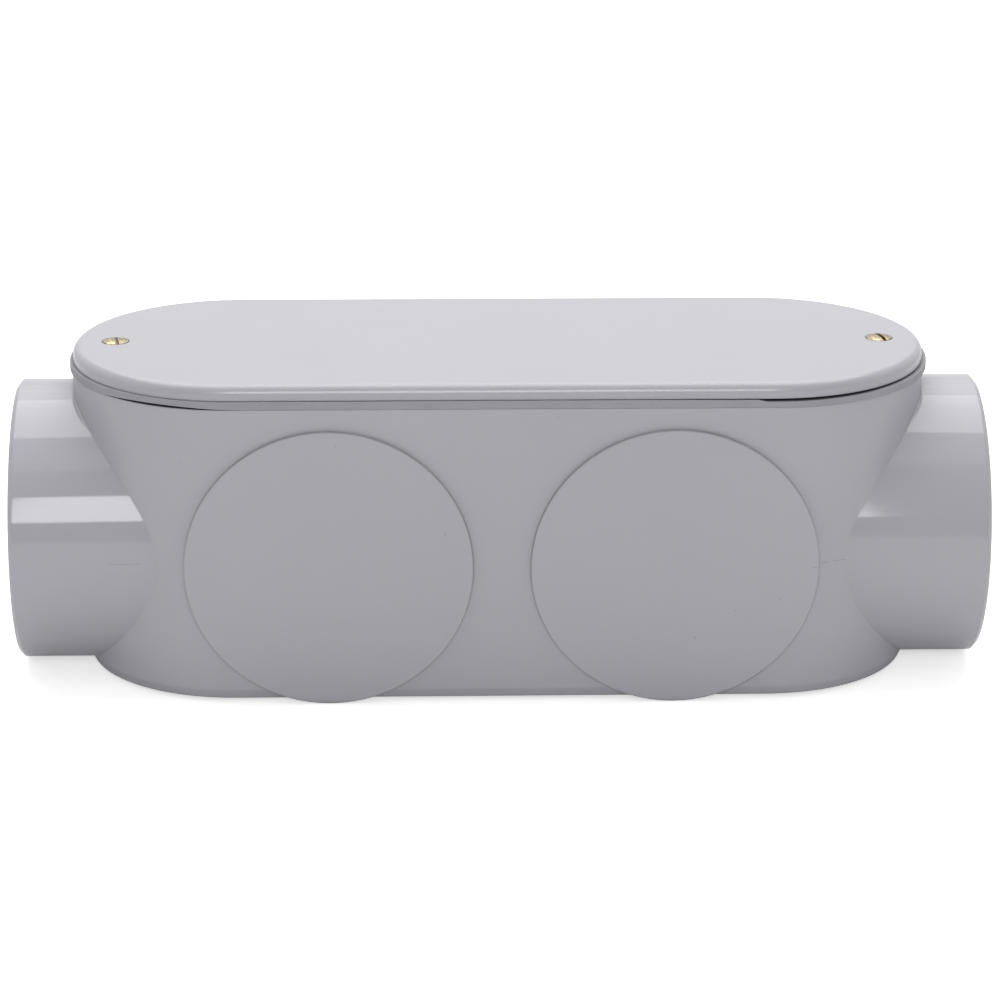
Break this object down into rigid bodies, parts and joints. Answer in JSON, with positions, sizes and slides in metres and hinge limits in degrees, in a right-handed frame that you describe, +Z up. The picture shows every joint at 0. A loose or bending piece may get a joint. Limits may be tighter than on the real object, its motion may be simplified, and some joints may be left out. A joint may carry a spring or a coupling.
{
  "type": "conduit body",
  "caption": "Straight-through rigid plastic conduit body: long round-ended housing, a socket hub at each end, blank hub pads on one side, screwed cover with gasket.",
  "frame": {"origin": "middle of the flat base that the housing rests on", "axes": "+X along the conduit run, +Z up out of the cover, the blank hub pads face -Y"},
  "size_m": [0.435, 0.1497, 0.1488],
  "materials": {
    "housing": "semi-gloss",
    "cover": "semi-gloss",
    "gasket": "matt",
    "screws": "bright",
    "inserts": "satin"
  },
  "bodies": {
    "housing": {"housing": "housing", "insert_left": "inserts", "insert_right": "inserts"},
    "cover": {"cover": "cover", "gasket": "gasket"},
    "screw_left": {"screw_left": "screws"},
    "screw_right": {"screw_right": "screws"}
  },
  "joints": [
    {"name": "cover_lift", "type": "slide", "parent": "housing", "child": "cover", "axis": [0, 0, 1], "range_m": [0, 0.06]},
    {"name": "screw_left_out", "type": "slide", "parent": "cover", "child": "screw_left", "axis": [0, 0, 1], "range_m": [0, 0.02]},
    {"name": "screw_right_out", "type": "slide", "parent": "cover", "child": "screw_right", "axis": [0, 0, 1], "range_m": [0, 0.02]}
  ]
}
